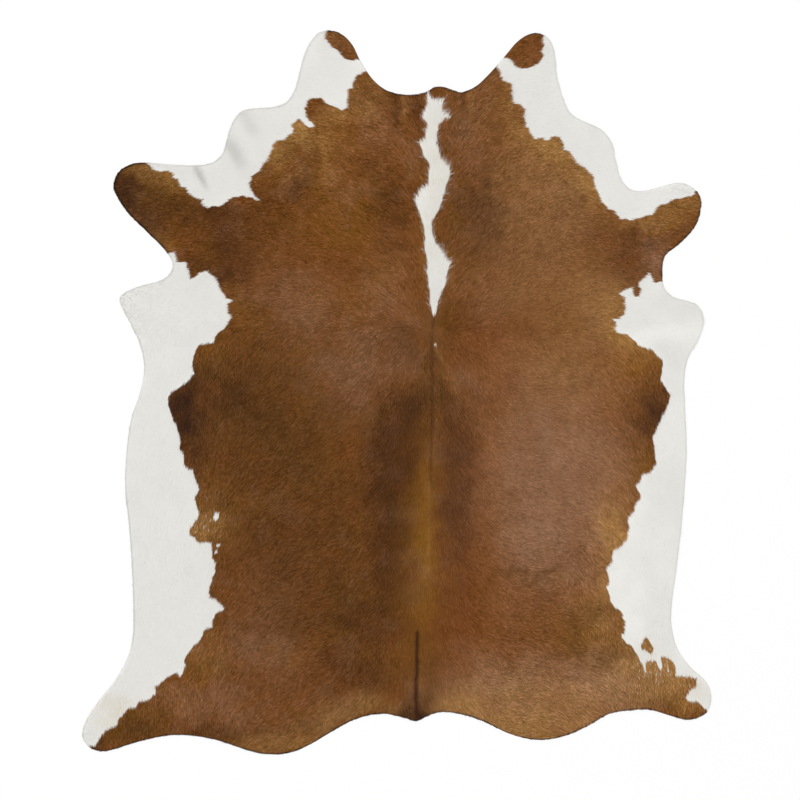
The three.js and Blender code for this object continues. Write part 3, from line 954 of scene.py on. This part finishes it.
def undercoat_material():
    """The skin's hair side, down among the roots: the hair's own colours as a short pile, the brown
    darkened in spots as painted shade among the roots.
    """
    material, tree = new_material("hair_roots_on_skin")
    whiteness = add_node(tree, "ShaderNodeAttribute", attribute_name="whiteness").outputs["Fac"]
    place = add_node(tree, "ShaderNodeTexCoord").outputs["Object"]
    tufts = {"Vector": place, "Scale": repeats(ROOT_PILE), "Detail": 3.0}
    pile = add_node(tree, "ShaderNodeTexNoise", tufts).outputs["Fac"]
    # painted shade in the pile between the roots
    depth = add_node(tree, "ShaderNodeMath", {0: pile, 1: ROOT_PAINTED_SHADE}, operation="MULTIPLY").outputs[0]
    deep = {SHARE: depth, FIRST: brown_of_place(tree), SECOND: linear(RIM_AND_SHADE_BROWN)}
    brown = add_node(tree, "ShaderNodeMix", deep, data_type="RGBA").outputs[MIXED]
    pale = {SHARE: pile, FIRST: linear(ROOT_WHITES[0]), SECOND: linear(ROOT_WHITES[1])}
    white = add_node(tree, "ShaderNodeMix", pale, data_type="RGBA").outputs[MIXED]
    sides = {SHARE: whiteness, FIRST: brown, SECOND: white}
    colour = add_node(tree, "ShaderNodeMix", sides, data_type="RGBA").outputs[MIXED]
    bump = add_node(tree, "ShaderNodeBump", {"Height": pile, "Strength": 0.5, "Distance": 0.5 * MM})
    finish = {
        "Base Color": colour,
        "Normal": bump.outputs[0],
        "Roughness": 0.85,
        "IOR": KERATIN_IOR,
        "Specular IOR Level": 0.1,
    }
    shader = add_node(tree, "ShaderNodeBsdfPrincipled", finish)
    add_node(tree, "ShaderNodeOutputMaterial", {"Surface": shader.outputs[0]})
    return material


def cut_edge_material():
    """Chrome-tanned cowhide cut with a knife: a dense, dull edge, dark brown under the brown hair and grey
    under the white, partly as painted shadow along the edge.
    """
    material, tree = new_material("cut_edge_of_tanned_cowhide")
    whiteness = add_node(tree, "ShaderNodeAttribute", attribute_name="whiteness").outputs["Fac"]
    place = add_node(tree, "ShaderNodeTexCoord").outputs["Object"]
    felted = {"Vector": place, "Scale": repeats(CUT_FIBRE), "Detail": 4.0}
    fibre = add_node(tree, "ShaderNodeTexNoise", felted).outputs["Fac"]
    dark = {SHARE: fibre, FIRST: linear(EDGE_AND_SHADE_BROWNS[0]), SECOND: linear(EDGE_AND_SHADE_BROWNS[1])}
    brown = add_node(tree, "ShaderNodeMix", dark, data_type="RGBA").outputs[MIXED]
    pale = {SHARE: fibre, FIRST: linear(EDGE_AND_SHADE_GREYS[0]), SECOND: linear(EDGE_AND_SHADE_GREYS[1])}
    grey = add_node(tree, "ShaderNodeMix", pale, data_type="RGBA").outputs[MIXED]
    sides = {SHARE: whiteness, FIRST: brown, SECOND: grey}
    colour = add_node(tree, "ShaderNodeMix", sides, data_type="RGBA").outputs[MIXED]
    bump = add_node(tree, "ShaderNodeBump", {"Height": fibre, "Strength": 0.6, "Distance": 0.4 * MM})
    finish = {"Base Color": colour, "Normal": bump.outputs[0], "Roughness": 0.8, "IOR": LEATHER_IOR}
    shader = add_node(tree, "ShaderNodeBsdfPrincipled", finish)
    add_node(tree, "ShaderNodeOutputMaterial", {"Surface": shader.outputs[0]})
    return material


def flesh_side_material():
    """The flesh side, shaved and buffed to suede: a pale, matt nap with faint cloudy marks."""
    material, tree = new_material("buffed_flesh_side_suede")
    place = add_node(tree, "ShaderNodeTexCoord").outputs["Object"]
    shaved = {"Vector": place, "Scale": repeats(SUEDE_CLOUD), "Detail": 5.0}
    cloud = add_node(tree, "ShaderNodeTexNoise", shaved).outputs["Fac"]
    buffed = {"Vector": place, "Scale": repeats(SUEDE_NAP), "Detail": 3.0}
    nap = add_node(tree, "ShaderNodeTexNoise", buffed).outputs["Fac"]
    clouded = {SHARE: cloud, FIRST: linear(SUEDE[0]), SECOND: linear(SUEDE[1])}
    colour = add_node(tree, "ShaderNodeMix", clouded, data_type="RGBA").outputs[MIXED]
    brushed = {SHARE: nap, FIRST: colour, SECOND: linear(SUEDE_BRUSHED)}
    colour = add_node(tree, "ShaderNodeMix", brushed, data_type="RGBA").outputs[MIXED]
    bump = add_node(tree, "ShaderNodeBump", {"Height": nap, "Strength": 0.5, "Distance": 0.3 * MM})
    finish = {
        "Base Color": colour,
        "Normal": bump.outputs[0],
        "Roughness": 0.95,
        "IOR": LEATHER_IOR,
        "Sheen Weight": 0.3,
    }
    shader = add_node(tree, "ShaderNodeBsdfPrincipled", finish)
    add_node(tree, "ShaderNodeOutputMaterial", {"Surface": shader.outputs[0]})
    return material


hair = hair_material()
undercoat = undercoat_material()
cut_edge = cut_edge_material()
flesh_side = flesh_side_material()

# ------------------------------
# The leather
# ------------------------------


def put_attribute(mesh, name, values):
    """Stores one number, or one RGB colour, for each vertex."""
    values = np.asarray(values, np.float32)
    if values.ndim == 1:
        mesh.attributes.new(name, "FLOAT", "POINT").data.foreach_set("value", values)
    else:
        colours = np.ones((len(values), 4), np.float32)
        colours[:, :3] = values
        mesh.attributes.new(name, "FLOAT_COLOR", "POINT").data.foreach_set("color", colours.ravel())


def put_hair_colour(mesh, x, y, whiteness, corners=1):
    """Stores the hair's shades, read at the places x and y, for that many vertices each."""
    weights = patch_weights(x, y)
    for name, shades in SHADE_SETS.items():
        mixed = np.stack([weights[shade] for shade in shades], axis=1)
        put_attribute(mesh, name, np.repeat(mixed, corners, axis=0))
    put_attribute(mesh, "whiteness", np.repeat(whiteness, corners))


def snap_to_edge(bm, verts):
    """Moves vertices sideways onto the nearest point of the hide's edge."""
    ring = np.array(edge) * MM
    start = ring
    along = np.roll(ring, -1, axis=0) - ring
    for vert in verts:
        place = np.array(vert.co[:2])
        t = ((place - start) * along).sum(axis=1) / (along**2).sum(axis=1)
        foot = start + np.clip(t, 0, 1)[:, None] * along
        nearest = ((foot - place) ** 2).sum(axis=1).argmin()
        vert.co.x, vert.co.y = foot[nearest]


def leather_sheet():
    """The skin: a grid trimmed to the hide's edge, given its thickness and laid over its waves."""
    width, length = high_corner[:2] - low_corner[:2]
    columns = math.ceil(width / CELL)
    rows = math.ceil(length / CELL)
    bm = bmesh.new()
    bmesh.ops.create_grid(bm, x_segments=columns, y_segments=rows, size=0.5)
    centre = (low_corner + high_corner) / 2 * MM
    bmesh.ops.scale(bm, vec=(columns * CELL * MM, rows * CELL * MM, 1), verts=bm.verts)
    bmesh.ops.translate(bm, vec=(centre[0], centre[1], 0), verts=bm.verts)
    middles = np.array([face.calc_center_median()[:2] for face in bm.faces]) / MM
    outside = depth_in_hide(middles[:, 0], middles[:, 1]) < 0
    bmesh.ops.delete(bm, geom=[f for f, out in zip(bm.faces, outside) if out], context="FACES")
    snap_to_edge(bm, [v for v in bm.verts if v.is_boundary])
    outer = {v for v in bm.verts if v.is_boundary}
    second = {e.other_vert(v) for v in outer for e in v.link_edges} - outer
    near = {v for w in second for e in w.link_edges for v in e.verts} - outer
    for _ in range(EDGE_EVENING):
        bmesh.ops.smooth_vert(bm, verts=list(near), factor=0.5, use_axis_x=True, use_axis_y=True)
    top = bmesh.ops.extrude_face_region(bm, geom=bm.faces[:])["geom"]
    raised = [part for part in top if isinstance(part, bmesh.types.BMVert)]
    bmesh.ops.translate(bm, vec=(0, 0, LEATHER * MM), verts=raised)
    upright = [e for e in bm.edges if abs(e.verts[0].co.z - e.verts[1].co.z) > LEATHER * MM / 2]
    cut = bmesh.ops.subdivide_edges(bm, edges=upright, cuts=1)["geom_inner"]
    bmesh.ops.recalc_face_normals(bm, faces=bm.faces)
    bm.normal_update()
    for vert in cut:
        if isinstance(vert, bmesh.types.BMVert):
            vert.co += vert.normal * EDGE_SWELL * MM
    for face in bm.faces:
        face.smooth = True
        if abs(face.normal.z) < EDGE_FACES:
            face.material_index = 1
        elif face.normal.z < 0:
            face.material_index = 2
    mesh = bpy.data.meshes.new("leather")
    bm.to_mesh(mesh)
    bm.free()
    points = np.empty(len(mesh.vertices) * 3)
    mesh.vertices.foreach_get("co", points)
    points = points.reshape(-1, 3) / MM
    x, y = points[:, 0], points[:, 1]
    points[:, 2] += lift(x, y)
    mesh.vertices.foreach_set("co", (points * MM).ravel())
    put_hair_colour(mesh, x, y, (depth_in_white(x, y) > 0).astype(float))
    for material in (undercoat, cut_edge, flesh_side):
        mesh.materials.append(material)
    return mesh


def add_piece(name, mesh):
    piece = bpy.data.objects.new(name, mesh)
    bpy.context.scene.collection.objects.link(piece)
    return piece


leather = add_piece("tanned_leather", leather_sheet())

# ------------------------------
# The coat
# ------------------------------

ROOT_DEPTH = 0.2  # how deep a lock starts in the skin
ROOT_CLEARANCE = 0.4  # and how far inside the knife's edge
OWN_LENGTH = 0.25  # how much a lock's length differs from its neighbours', as a share
OWN_WIDTH = 0.2
OWN_TURN = 8.0  # how far, in degrees, a lock strays from its neighbours
OWN_ROLL = 0.40  # how far it leans to one side
EVEN_WHITE = 0.35  # how uneven the white hair is, beside the brown

TRIM_UNEVEN = 1.4  # how unevenly the hair is trimmed past the leather's edge
TRIM_SIZE = 9
TRIM_SHORTEST = 0.15  # the share of a lock that the trimming always leaves

# The next four are shares of the coat's height.
TIP_HEIGHT = 0.92  # how high the tips of the locks stand
OWN_HEIGHT = 0.24  # how much this differs from lock to lock
HEIGHT_SWAY = 0.12  # and from place to place
PARTING_DEPTH = 0.6  # the most that a parting presses the coat down
HEIGHT_SWAY_SIZE = 30

SHOWN = (0.46, 0.68)  # the part of a lock that shows between its neighbours, from root to tip
WANDER = 3.0  # how far the border of a marking wanders among the locks
WANDER_SIZE = 15
OWN_WANDER = 0.5  # and how far each lock strays from that
STAIN_UNEVEN = 2.0  # the most that a lock can take of its place's stain

# Near the edge the hair is darkened, partly for its dark trimmed ends and partly as painted shadow of the
# edge.
RIM_WIDTH = 4.6  # the hair is darker this close to the knife's edge
RIM_SHARP = 0.5  # and has its full depth this close
# On the left foreleg this rim is widened as painted shadow along its lower edge.
LEG_RIM_SHADOW = 5.0  # how much wider that rim is on the left foreleg
LEG_RIM_X = (-560, -700)  # from where it starts to widen, going out, to where it has done so
LEG_RIM_Y = (420, 520)  # and the same, going towards the head
# In the white hair the rim is painted shadow of the edge, fainter towards the right.
PALE_RIM_SHADE = (0.5, 0.2)  # how dark the rim of the white hair is, and how much less so on the right
PALE_RIM_SHADE_TURN = 300  # that change starts and ends this far from the middle

MIDDLE_TONE = 0.80
OWN_TONE = 0.36  # how far a lock's own tone strays from that
BRIGHT_FEW = 0.12  # how far a few stand out as brighter
STREAK_TONE = 0.07  # how much the streaks along the hair add or take
STREAK_WIDTH, STREAK_RUN = 3.6, 26.0
STREAK_STEPS = 7  # places along a streak at which it is read
PLACE_TONE = 0.09  # how much the place adds or takes
PLACE_SIZE = 26
TONES = (0.15, 2.0)  # the darkest and the brightest

# Along the border of the blaze the locks are longer and thinner and stray further. These are
# their shares of the usual values, or take their place.
BLAZE_REACH = 110  # the blaze lies this close to the line of the back over the shoulders
BLAZE_END = 180  # and reaches this far towards the tail
BORDER_WIDTH = 16.0  # and such locks are rooted this close to its border
BLAZE_LENGTH = 1.3
BLAZE_WIDTH = 0.8
BLAZE_TURN = 1.8
BLAZE_SHOWN = (0.30, 0.80)
BLAZE_WANDER = 0.6

# A few of them stand out as spikes that cross the border.
SPIKE_SHARE = 0.10
SPIKE_LENGTH = 1.4
SPIKE_WIDTH = 0.75
SPIKE_LIFT = 0.5  # how much higher they lie
SPIKE_TURN = 0.7  # how much of their way points straight out of the white
SPIKE_SHOWN = 0.1  # they take their colour this close to their roots

STRANDS = 40  # places that the locks take their streaks from
STRAND_GAP = 40  # how far apart these lie

# Where the coat lies straighter and sleeker, or rougher: centre, half width, half length, how much.
SLEEK_AREAS = [
    ("beside the spine", 85, -560, 130, 560, 0.60),
    ("whorl", 106, 185, 60, 80, 0.50),
    ("right ribs and shoulder", 450, 0, 260, 520, 0.36),
    ("left ribs and shoulder", -220, 130, 260, 330, 0.16),
    ("neck", -150, 800, 260, 170, -0.14),
]


def lock_roots(rng):
    """Evenly scattered places for the locks' roots: a square grid, each place shaken in its cell."""
    area = (field_x[-1] - field_x[0]) * (field_y[-1] - field_y[0])
    hide_share = (depth_in_hide.values > 0).mean()
    spacing = math.sqrt(area * hide_share / LOCKS)
    columns = np.arange(field_x[0], field_x[-1], spacing)
    rows = np.arange(field_y[0], field_y[-1], spacing)
    grid_x, grid_y = np.meshgrid(columns, rows)
    x = (grid_x + spacing * rng.uniform(-0.5, 0.5, grid_x.shape)).ravel()
    y = (grid_y + spacing * rng.uniform(-0.5, 0.5, grid_y.shape)).ravel()
    kept = depth_in_hide(x, y) > ROOT_CLEARANCE
    return x[kept], y[kept]


def streaks(x, y, width, run, seed):
    """Noise drawn out along the hair, so that neighbouring locks run together into streaks."""
    dx, dy = hair_direction(x, y)
    total = 0.0
    for step in np.linspace(-run / 2, run / 2, STREAK_STEPS):
        total = total + noise(x + step * dx, y + step * dy, width, seed)
    return total / math.sqrt(STREAK_STEPS)


def trimmed(x, y, dx, dy, length):
    """Each lock's length once the hair that would reach past the edge is cut there."""
    ragged = OVERHANG + TRIM_UNEVEN * noise(x, y, TRIM_SIZE, 51)
    at_root = depth_in_hide(x, y)
    at_tip = depth_in_hide(x + dx * length, y + dy * length)
    allowed = (at_root + ragged) / np.maximum(at_root - at_tip, 1e-3)
    allowed = np.clip(allowed, TRIM_SHORTEST, 1.0)
    return np.where(at_tip < -ragged, length * allowed, length)


def tone_of_locks(x, y, evenness, rng):
    """How bright each lock is beside its neighbours, where 1 is neither brighter nor darker. A few
    locks catch the light strongly and none is very dark."""
    own = rng.normal(0, 1, len(x))
    own = own + BRIGHT_FEW * (own**2 - 1)
    tone = OWN_TONE * own + STREAK_TONE * streaks(x, y, STREAK_WIDTH, STREAK_RUN, 81)
    tone = tone + PLACE_TONE * rough_noise(x, y, PLACE_SIZE, 91)
    return np.clip(MIDDLE_TONE + evenness * tone, *TONES)


def lock_colours(x, y, tip_x, tip_y, at_blaze, spike, evenness, rng):
    """What colours each lock: the place whose shade it takes, whether it is white, its dark rim with the
    painted shadow of the edge, the painted shade of creases in the white hair, its stain and its tone. Most
    of a lock lies under the next ones, so all of these are read where it shows."""
    count = len(x)
    shown = np.where(at_blaze, rng.uniform(*BLAZE_SHOWN, count), rng.uniform(*SHOWN, count))
    shown = np.where(spike, SPIKE_SHOWN, shown)
    seen_x, seen_y = x + shown * (tip_x - x), y + shown * (tip_y - y)
    wander = WANDER * rough_noise(seen_x, seen_y, WANDER_SIZE, 71)
    wander = np.where(at_blaze, BLAZE_WANDER, 1.0) * wander + rng.normal(0, OWN_WANDER, count)
    white = depth_in_white(seen_x, seen_y) + wander > 0
    for _, cx, cy, half_width, half_length, share in MINGLED_HAIRS:
        near = soft_oval(seen_x, seen_y, cx, cy, half_width, half_length)
        white = white | (rng.uniform(0, 1, count) < share * near)
    # the rim: dark hair ends and painted shadow of the edge; in white hair, painted shadow and the painted
    # shade of creases
    shaded_rim_width = RIM_WIDTH + LEG_RIM_SHADOW * smoothstep(*LEG_RIM_X, x) * smoothstep(*LEG_RIM_Y, y)
    rim_dark_and_shade = 1 - smoothstep(RIM_SHARP, shaded_rim_width, depth_in_hide(seen_x, seen_y))
    paler = smoothstep(-PALE_RIM_SHADE_TURN, PALE_RIM_SHADE_TURN, seen_x)
    pale_rim_shade = rim_dark_and_shade * (PALE_RIM_SHADE[0] - PALE_RIM_SHADE[1] * paler)
    rim_dark_and_shade = np.where(white, np.maximum(pale_rim_shade, crease_shade_weights(seen_x, seen_y)), rim_dark_and_shade)
    stain = stain_weights(seen_x, seen_y) * rng.uniform(0.0, STAIN_UNEVEN, count)
    tone = tone_of_locks(seen_x, seen_y, evenness, rng)
    return seen_x, seen_y, white.astype(float), rim_dark_and_shade, np.minimum(stain, 1.0), tone


def grow_locks():
    """Every lock of the coat: its three corners in millimetres and what colours it."""
    rng = np.random.default_rng(7)
    x, y = lock_roots(rng)
    count = len(x)
    from_white = depth_in_white(x, y)
    at_blaze = (np.abs(x - NECK_SPINE_X) < BLAZE_REACH) & (y > BLAZE_END)
    at_blaze = at_blaze & (np.abs(from_white) < BORDER_WIDTH)
    spike = at_blaze & (rng.uniform(0, 1, count) < SPIKE_SHARE)
    rough = np.ones(count)
    for _, cx, cy, half_width, half_length, share in SLEEK_AREAS:
        rough = rough - share * soft_oval(x, y, cx, cy, half_width, half_length, ends=4)
    evenness = rough * np.where(from_white > 0, EVEN_WHITE, 1.0)
    length = LOCK_LENGTH * rng.uniform(1 - OWN_LENGTH, 1 + OWN_LENGTH, count)
    length = length * np.where(at_blaze, BLAZE_LENGTH, 1.0) * np.where(spike, SPIKE_LENGTH, 1.0)
    half = LOCK_WIDTH / 2 * rng.uniform(1 - OWN_WIDTH, 1 + OWN_WIDTH, count)
    half = half * np.where(at_blaze, BLAZE_WIDTH, 1.0) * np.where(spike, SPIKE_WIDTH, 1.0)

    dx, dy = hair_direction(x, y)
    dx, dy = hair_direction(x + dx * length / 2, y + dy * length / 2)
    out_x = depth_in_white(x - FIELD_STEP, y) - depth_in_white(x + FIELD_STEP, y)
    out_y = depth_in_white(x, y - FIELD_STEP) - depth_in_white(x, y + FIELD_STEP)
    turned = np.where(spike, SPIKE_TURN / (2 * FIELD_STEP), 0.0)
    dx, dy = dx + turned * out_x, dy + turned * out_y
    dx, dy = dx / np.hypot(dx, dy), dy / np.hypot(dx, dy)
    stray = OWN_TURN * rough * np.where(at_blaze, BLAZE_TURN, 1.0) * rng.normal(0, 1, count)
    stray = np.radians(stray)
    dx, dy = dx * np.cos(stray) - dy * np.sin(stray), dx * np.sin(stray) + dy * np.cos(stray)
    length = trimmed(x, y, dx, dy, length)
    tip_x, tip_y = x + length * dx, y + length * dy

    height = TIP_HEIGHT + OWN_HEIGHT * evenness * rng.uniform(-1, 1, count)
    height = COAT * (height + HEIGHT_SWAY * noise(x, y, HEIGHT_SWAY_SIZE, 61))
    pressed = fold_height(tip_x, tip_y, PARTINGS) / COAT
    height = height * (1 - np.minimum(pressed, PARTING_DEPTH))
    height = height + np.where(spike, SPIKE_LIFT, 0.0)
    root_z = LEATHER + lift(x, y) - ROOT_DEPTH
    tip_z = LEATHER + lift(tip_x, tip_y) + height
    lean = half * OWN_ROLL * evenness * rng.uniform(-1, 1, count)
    corners = np.empty((count, 3, 3))
    corners[:, 0] = np.stack([x + half * dy, y - half * dx, root_z + lean], axis=1)
    corners[:, 1] = np.stack([tip_x, tip_y, tip_z], axis=1)
    corners[:, 2] = np.stack([x - half * dy, y + half * dx, root_z - lean], axis=1)
    return corners, *lock_colours(x, y, tip_x, tip_y, at_blaze, spike, evenness, rng)


def coat_piece(name, corners, x, y, whiteness, rim_dark_and_shade, stain, tone):
    """One part of the coat as a joined mesh, with one face for each lock."""
    count = len(corners)
    mesh = bpy.data.meshes.new(name)
    mesh.vertices.add(3 * count)
    mesh.vertices.foreach_set("co", (corners * MM).ravel())
    mesh.loops.add(3 * count)
    mesh.loops.foreach_set("vertex_index", np.arange(3 * count))
    mesh.polygons.add(count)
    mesh.polygons.foreach_set("loop_start", 3 * np.arange(count))
    mesh.update(calc_edges=True)
    plan = (corners[:, :, :2] - low_corner[:2]) / (high_corner[:2] - low_corner[:2])
    mesh.uv_layers.new(name="OFBake").data.foreach_set("uv", plan.astype(np.float32).ravel())
    shift = STRAND_GAP * np.random.default_rng(5).integers(0, STRANDS, (count, 1))
    across = shift + LOCK_WIDTH * np.array([1.0, 0.5, 0.0])
    down = shift + LOCK_LENGTH * np.array([0.0, 1.0, 0.0])
    strand = np.stack([across, down], axis=2).astype(np.float32)
    mesh.uv_layers.new(name="strand").data.foreach_set("uv", strand.ravel())
    put_hair_colour(mesh, x, y, whiteness, corners=3)
    for attribute, values in (("stain", stain), ("rim_dark_and_shade", rim_dark_and_shade), ("tone", tone)):
        put_attribute(mesh, attribute, np.repeat(values, 3))
    put_attribute(mesh, "along", np.tile([0.0, 1.0, 0.0], count))
    mesh.materials.append(hair)
    return add_piece(name, mesh)


def comb_coat():
    """The whole coat, from the neck to the rump, in pieces of equal size."""
    locks = grow_locks()
    from_neck = np.argsort(-locks[2], kind="stable")
    parts = np.array_split(from_neck, len(COAT_PIECES))
    return [
        coat_piece(name, *(values[part] for values in locks))
        for name, part in zip(COAT_PIECES, parts)
    ]


coat = comb_coat()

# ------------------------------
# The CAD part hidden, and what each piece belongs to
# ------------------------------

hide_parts("hide")
for piece in [leather, *coat]:
    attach(piece, "root")

# ------------------------------
# Floor, light and camera
# ------------------------------

FLOOR_SIZE = 12.0
LIT_SHARE = 0.20  # how much of the floor's white is lit, and so can take a shadow
WORLD_LIGHT = 0.50
LAMP_SIZE = 3.5
LAMPS = {  # name: place and power in watts
    "softbox_main": ((-5.0, 5.0, 11.0), 850.0),
    "softbox_fill": ((4.5, -5.0, 11.0), 320.0),
}

VIEW_CENTRE = (10.4 * MM, -23.8 * MM)
VIEW_WIDTH = 2.44
VIEW_HEIGHT = 8.0
SENSOR = 36.0


def floor_material():
    """Matt white studio paper, which looks evenly white but still takes a faint shadow."""
    material, tree = new_material("matt_white_paper")
    place = add_node(tree, "ShaderNodeTexCoord").outputs["Object"]
    pressed = {"Vector": place, "Scale": repeats(PAPER_GRAIN)}
    grain = add_node(tree, "ShaderNodeTexNoise", pressed).outputs["Fac"]
    papers = {SHARE: grain, FIRST: linear(PAPER[0]), SECOND: linear(PAPER[1])}
    white = add_node(tree, "ShaderNodeMix", papers, data_type="RGBA").outputs[MIXED]
    lit = add_node(tree, "ShaderNodeBsdfDiffuse", {"Color": white}).outputs[0]
    glow = add_node(tree, "ShaderNodeEmission", {"Strength": 1.0}).outputs[0]
    rays = add_node(tree, "ShaderNodeLightPath").outputs
    seen = rays["Is Camera Ray"]
    for other in ("Is Glossy Ray", "Is Transmission Ray"):
        either = {0: seen, 1: rays[other]}
        seen = add_node(tree, "ShaderNodeMath", either, operation="MAXIMUM").outputs[0]
    part = {0: seen, 1: 1 - LIT_SHARE}
    share = add_node(tree, "ShaderNodeMath", part, operation="MULTIPLY").outputs[0]
    mixed = add_node(tree, "ShaderNodeMixShader", {0: share, 1: lit, 2: glow}).outputs[0]
    add_node(tree, "ShaderNodeOutputMaterial", {"Surface": mixed})
    return material


def lay_floor():
    bm = bmesh.new()
    bmesh.ops.create_grid(bm, x_segments=1, y_segments=1, size=FLOOR_SIZE / 2)
    mesh = bpy.data.meshes.new("floor")
    bm.to_mesh(mesh)
    bm.free()
    mesh.materials.append(floor_material())
    return add_piece("floor", mesh)


def light_world():
    world = bpy.data.worlds.new("even_studio_light")
    world.use_nodes = True
    tree = world.node_tree
    tree.nodes.clear()
    white = linear("#FFFFFF")
    soft = add_node(tree, "ShaderNodeBackground", {"Color": white, "Strength": WORLD_LIGHT}).outputs[0]
    plain = add_node(tree, "ShaderNodeBackground", {"Color": white, "Strength": 1.0}).outputs[0]
    seen = add_node(tree, "ShaderNodeLightPath").outputs["Is Camera Ray"]
    mixed = add_node(tree, "ShaderNodeMixShader", {0: seen, 1: soft, 2: plain}).outputs[0]
    add_node(tree, "ShaderNodeOutputWorld", {"Surface": mixed})
    bpy.context.scene.world = world


def hang_lamps():
    for name, (place, power) in LAMPS.items():
        lamp = bpy.data.lights.new(name, "AREA")
        lamp.shape = "SQUARE"
        lamp.size = LAMP_SIZE
        lamp.energy = power
        holder = bpy.data.objects.new(name, lamp)
        holder.location = place
        holder.rotation_euler = (-Vector(place)).to_track_quat("-Z", "Y").to_euler()
        bpy.context.scene.collection.objects.link(holder)


def place_camera():
    data = bpy.data.cameras.new("camera_overhead")
    data.sensor_width = SENSOR
    data.lens = SENSOR * VIEW_HEIGHT / VIEW_WIDTH
    camera = bpy.data.objects.new("camera_overhead", data)
    camera.location = (*VIEW_CENTRE, VIEW_HEIGHT)
    bpy.context.scene.collection.objects.link(camera)
    bpy.context.scene.camera = camera


lay_floor()
light_world()
hang_lamps()
place_camera()
bpy.context.scene.view_settings.view_transform = "Standard"
